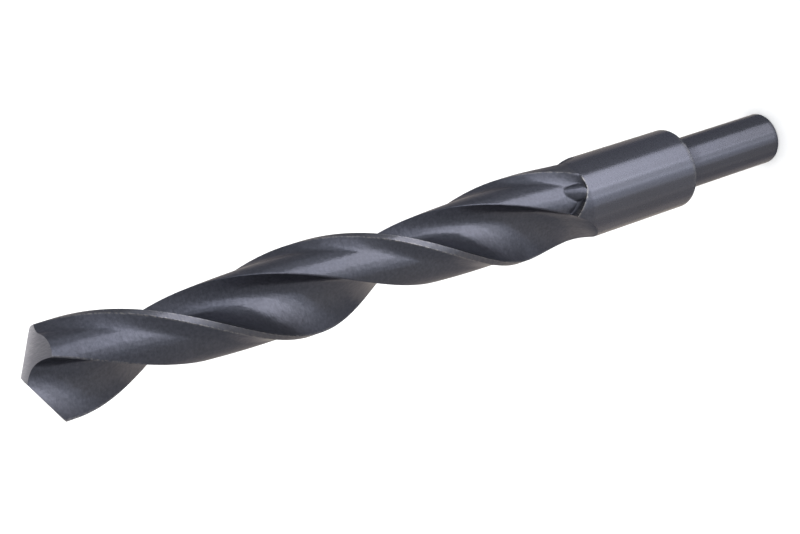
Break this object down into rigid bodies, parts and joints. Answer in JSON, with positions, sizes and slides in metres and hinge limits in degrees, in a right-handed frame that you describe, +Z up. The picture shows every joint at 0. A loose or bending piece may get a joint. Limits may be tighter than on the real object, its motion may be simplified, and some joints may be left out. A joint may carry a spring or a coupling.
{
  "type": "twist drill bit",
  "caption": "Right-hand twist drill bit with helical flutes, raised margins, a ground conical point, a plain neck and a reduced parallel shank for a drill chuck.",
  "frame": {"origin": "centre of the flat end of the shank", "axes": "+Z up the drill axis from the shank end to the point, +X along the first cutting lip"},
  "size_m": [0.02, 0.02, 0.2],
  "materials": {
    "oxide_steel": "dark blue-grey oxide over ground high-speed steel, satin, with the point flanks ground bright grey"
  },
  "bodies": {
    "root": {"drill_bit": "oxide_steel"}
  },
  "joints": []
}
